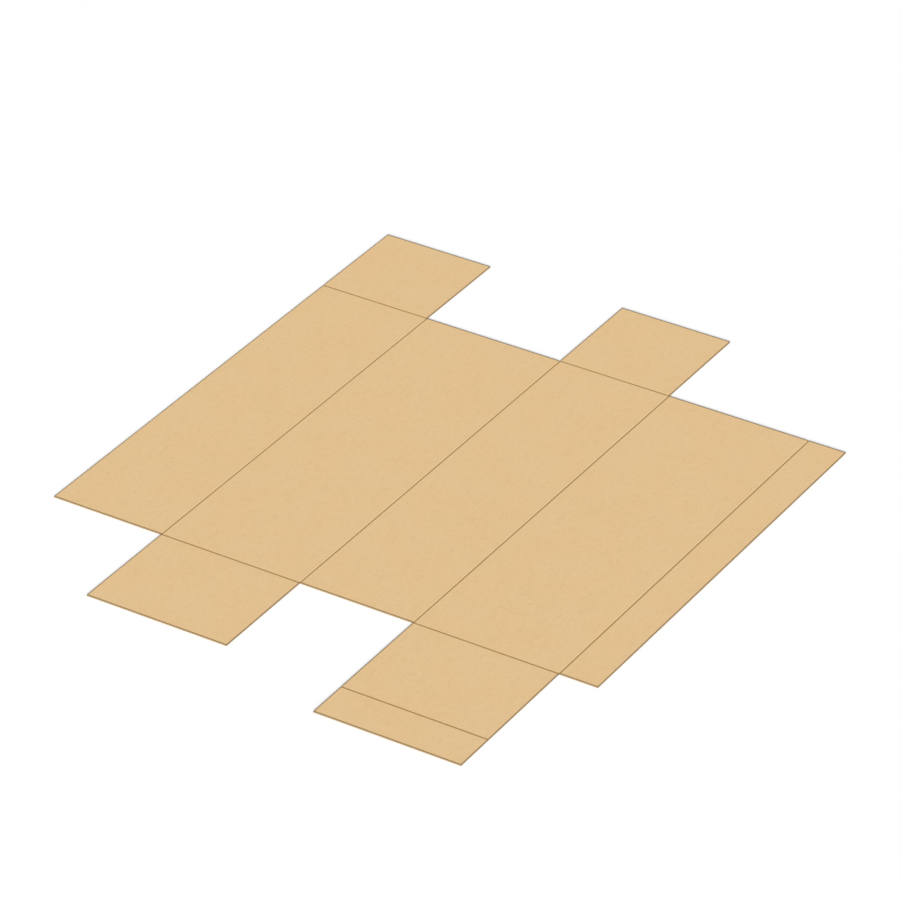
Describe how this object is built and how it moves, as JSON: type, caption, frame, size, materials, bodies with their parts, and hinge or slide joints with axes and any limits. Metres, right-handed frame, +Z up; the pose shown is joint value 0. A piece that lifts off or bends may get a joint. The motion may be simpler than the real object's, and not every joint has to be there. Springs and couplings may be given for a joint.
{
  "type": "flattened cardboard box",
  "caption": "Flat die-cut carton blank of brown board: alternating narrow and wide panels side by side, with end flaps, a tuck flap and a glue tab, creased for folding.",
  "frame": {"origin": "under the middle of the sheet's bounding box, on the surface that the sheet lies on", "axes": "+X across the panels towards the glue tab, +Y along the panels, away from the tuck flap, +Z up out of the upper face"},
  "size_m": [0.3858, 0.486, 0.0008],
  "materials": {
    "kraft_board": "matte uncoated brown kraft board"
  },
  "bodies": {
    "root": {"carton_blank": "kraft_board"}
  },
  "joints": []
}
